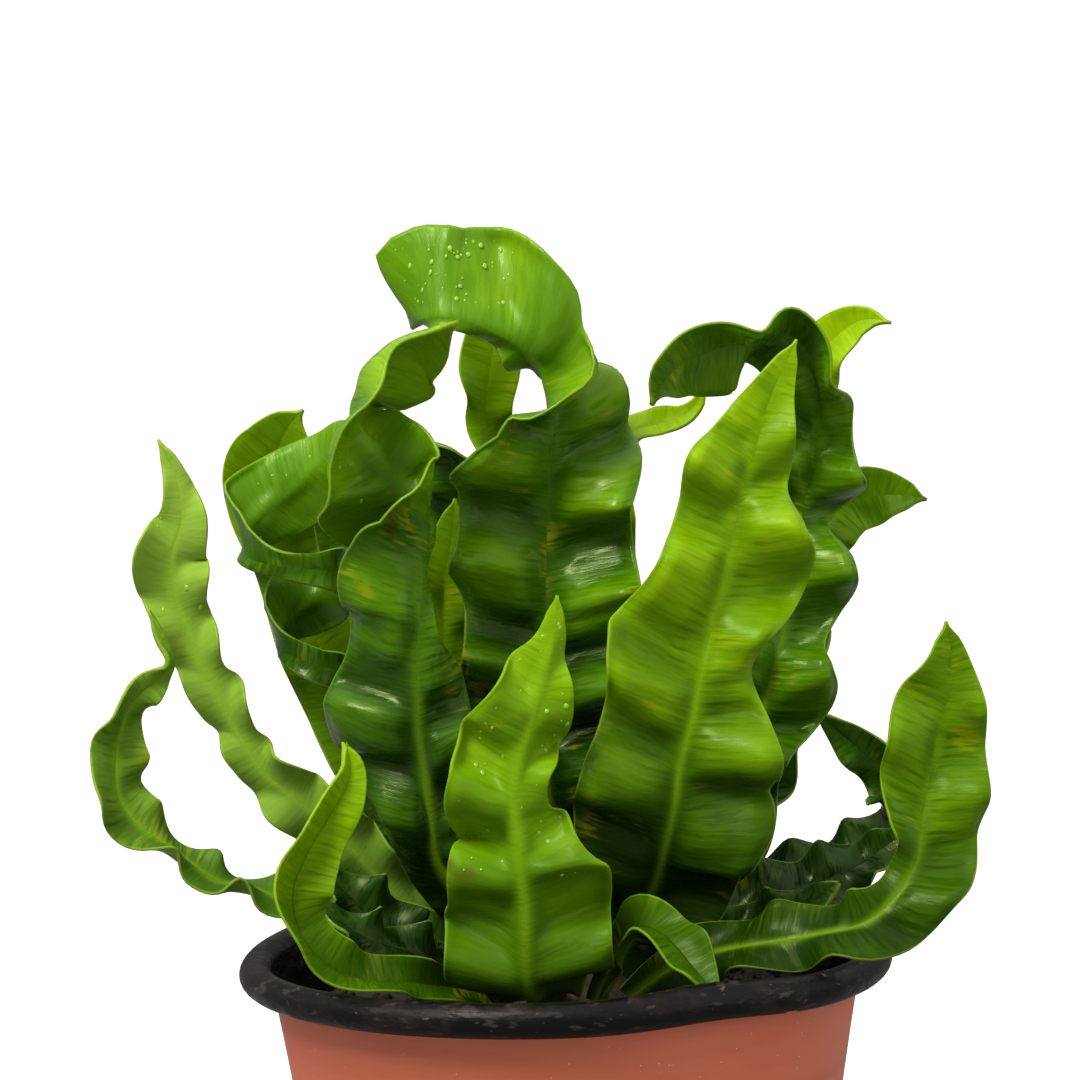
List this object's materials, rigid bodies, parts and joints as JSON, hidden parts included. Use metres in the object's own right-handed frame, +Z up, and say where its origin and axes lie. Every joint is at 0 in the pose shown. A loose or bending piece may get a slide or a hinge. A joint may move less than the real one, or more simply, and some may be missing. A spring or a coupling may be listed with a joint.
{
  "type": "potted bird's nest fern",
  "caption": "Crisped bird's nest fern: a rosette of upright, waved and twisted strap-shaped fronds growing from a crown in a soft round nursery pot with a rolled rim.",
  "frame": {"origin": "middle of the pot's underside, on the ground it stands on", "axes": "+Z up along the pot's axis, -Y towards the side the plant shows its front fronds to, +X to the viewer's right"},
  "size_m": [0.2105, 0.1598, 0.3028],
  "materials": {
    "pot": "satin",
    "soil": "matte",
    "crown": "matte",
    "leaf_light": "satin",
    "leaf_dark": "gloss",
    "leaf_pale": "matte"
  },
  "bodies": {
    "root": {"pot": "pot", "potting_mix": "soil", "crown": "crown", "frond_tall_centre": "leaf_dark", "frond_broad_right": "leaf_light", "frond_young_front": "leaf_light", "frond_twisted_left": "leaf_dark", "frond_spiral_left": "leaf_dark", "frond_spiral_back": "leaf_light", "frond_far_left": "leaf_pale", "frond_far_left_curl": "leaf_pale", "frond_front_left_curl": "leaf_light", "frond_right": "leaf_light", "frond_arching_right": "leaf_dark", "frond_dark_left": "leaf_dark", "frond_low_left": "leaf_dark", "frond_right_back": "leaf_light", "frond_top_right_back": "leaf_light", "frond_centre_back": "leaf_light", "frond_hooked_back": "leaf_light", "frond_dark_back": "leaf_dark", "frond_right_mid_back": "leaf_dark", "frond_low_right": "leaf_dark", "frond_small_front": "leaf_light", "frond_mid_right": "leaf_dark", "frond_light_back_left": "leaf_light", "frond_rear_left": "leaf_dark", "frond_rear": "leaf_light", "frond_rear_right": "leaf_dark"}
  },
  "joints": []
}
